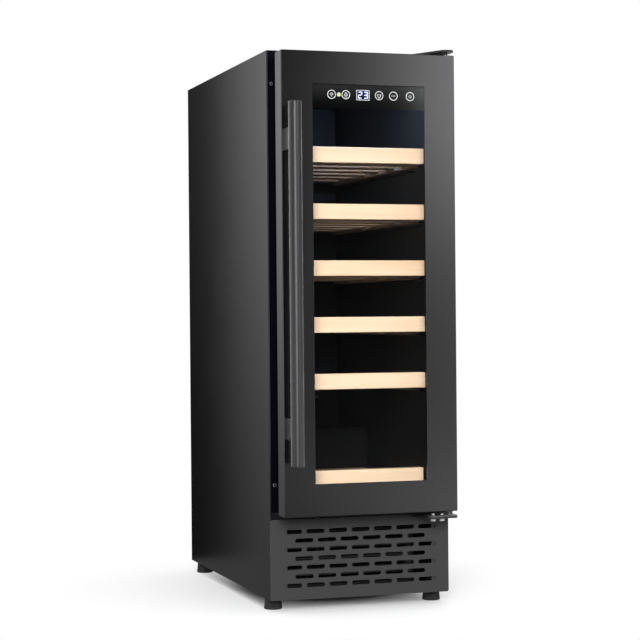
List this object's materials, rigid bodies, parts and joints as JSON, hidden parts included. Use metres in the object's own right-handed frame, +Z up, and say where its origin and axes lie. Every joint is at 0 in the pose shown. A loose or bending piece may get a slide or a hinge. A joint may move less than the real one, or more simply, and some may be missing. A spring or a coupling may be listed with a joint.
{
  "type": "wine cooler",
  "caption": "Slim free-standing wine cooler: black steel cabinet, hinged glass door with bar handle and touch controls, slatted wooden shelves that slide, slotted grille and levelling feet.",
  "frame": {"origin": "on the floor, below the centre of the bounding box", "axes": "+Z up, door facing -Y, hinge side at +X"},
  "size_m": [0.295, 0.622, 0.8754],
  "materials": {
    "cabinet_paint": "satin black",
    "grille_paint": "satin dark grey",
    "door_paint": "gloss black",
    "sheet_steel": "zinc coated sheet",
    "hinge_paint": "satin grey",
    "zinc_steel": "bright zinc",
    "liner_plastic": "fine satin",
    "black_plastic": "moulded matt",
    "foam": "rigid foam",
    "beech": "pale, fine straight grain",
    "light_plastic": "milky translucent",
    "circuit_board": "lacquered board",
    "display_plastic": "dark lens",
    "bare_aluminium": "mill finish",
    "white_plastic": "moulded",
    "compressor_paint": "semi-gloss black",
    "black_rubber": "soft matt",
    "copper": "bright drawn copper",
    "clear_glass": "polished, lightly tinted",
    "spacer_aluminium": "black anodised",
    "handle_metal": "satin anthracite",
    "foot_plastic": "moulded"
  },
  "bodies": {
    "cabinet": {"left_side_panel": "cabinet_paint", "right_side_panel": "cabinet_paint", "top_panel": "cabinet_paint", "rear_panel": "sheet_steel", "lower_cross_rail": "sheet_steel", "bay_plate": "sheet_steel", "base_tray": "sheet_steel", "front_grille": "grille_paint", "rear_vent_cover": "sheet_steel", "inner_liner": "liner_plastic", "insulation_foam": "foam", "shelf_runners": "liner_plastic", "light_cover": "light_plastic", "led_board": "circuit_board", "air_duct_cover": "liner_plastic", "evaporator": "bare_aluminium", "drain_tube": "white_plastic", "evaporator_fan_frame": "black_plastic", "condenser_fan_frame": "black_plastic", "compressor": "compressor_paint", "compressor_grommets": "black_rubber", "terminal_cover": "black_plastic", "condenser": "bare_aluminium", "filter_drier": "copper", "refrigerant_pipes": "copper", "drip_tray": "white_plastic", "power_box": "black_plastic", "cord_gland": "black_rubber", "upper_hinge_bracket": "hinge_paint", "lower_hinge_bracket": "hinge_paint", "lower_pivot_plate": "hinge_paint", "adjuster_bolts": "zinc_steel", "cabinet_screws": "zinc_steel"},
    "door": {"door_frame": "door_paint", "front_glass": "clear_glass", "glass_spacer": "spacer_aluminium", "inner_glass": "clear_glass", "door_inner_frame": "black_plastic", "door_gasket": "black_rubber", "hinge_bushes": "black_plastic", "control_housing": "black_plastic", "control_board": "circuit_board", "touch_light_guides": "light_plastic", "display_module": "display_plastic", "handle_bar": "handle_metal", "handle_posts": "handle_metal", "handle_screws": "zinc_steel"},
    "shelf_1": {"shelf_1": "beech"},
    "shelf_2": {"shelf_2": "beech"},
    "shelf_3": {"shelf_3": "beech"},
    "shelf_4": {"shelf_4": "beech"},
    "shelf_5": {"shelf_5": "beech"},
    "shelf_6": {"shelf_6": "beech"},
    "evaporator_fan": {"evaporator_fan": "black_plastic"},
    "condenser_fan": {"condenser_fan": "black_plastic"},
    "foot_front_left": {"foot_front_left": "foot_plastic"},
    "foot_front_right": {"foot_front_right": "foot_plastic"},
    "foot_rear_left": {"foot_rear_left": "foot_plastic"},
    "foot_rear_right": {"foot_rear_right": "foot_plastic"}
  },
  "joints": [
    {"name": "door_hinge", "type": "hinge", "parent": "cabinet", "child": "door", "pos_m": [0.133, -0.251, 0.5], "axis": [0, 0, 1], "range_deg": [0, 110]},
    {"name": "shelf_1_slide", "type": "slide", "parent": "cabinet", "child": "shelf_1", "axis": [0, -1, 0], "range_m": [0, 0.025]},
    {"name": "shelf_2_slide", "type": "slide", "parent": "cabinet", "child": "shelf_2", "axis": [0, -1, 0], "range_m": [0, 0.025]},
    {"name": "shelf_3_slide", "type": "slide", "parent": "cabinet", "child": "shelf_3", "axis": [0, -1, 0], "range_m": [0, 0.025]},
    {"name": "shelf_4_slide", "type": "slide", "parent": "cabinet", "child": "shelf_4", "axis": [0, -1, 0], "range_m": [0, 0.025]},
    {"name": "shelf_5_slide", "type": "slide", "parent": "cabinet", "child": "shelf_5", "axis": [0, -1, 0], "range_m": [0, 0.025]},
    {"name": "shelf_6_slide", "type": "slide", "parent": "cabinet", "child": "shelf_6", "axis": [0, -1, 0], "range_m": [0, 0.025]},
    {"name": "evaporator_fan_spin", "type": "hinge", "parent": "cabinet", "child": "evaporator_fan", "pos_m": [0, 0.2367, 0.74], "axis": [0, 1, 0], "continuous": true},
    {"name": "condenser_fan_spin", "type": "hinge", "parent": "cabinet", "child": "condenser_fan", "pos_m": [0, -0.1043, 0.0654], "axis": [0, 1, 0], "continuous": true},
    {"name": "foot_front_left_level", "type": "slide", "parent": "cabinet", "child": "foot_front_left", "axis": [0, 0, -1], "range_m": [0, 0.02]},
    {"name": "foot_front_right_level", "type": "slide", "parent": "cabinet", "child": "foot_front_right", "axis": [0, 0, -1], "range_m": [0, 0.02]},
    {"name": "foot_rear_left_level", "type": "slide", "parent": "cabinet", "child": "foot_rear_left", "axis": [0, 0, -1], "range_m": [0, 0.02]},
    {"name": "foot_rear_right_level", "type": "slide", "parent": "cabinet", "child": "foot_rear_right", "axis": [0, 0, -1], "range_m": [0, 0.02]}
  ]
}
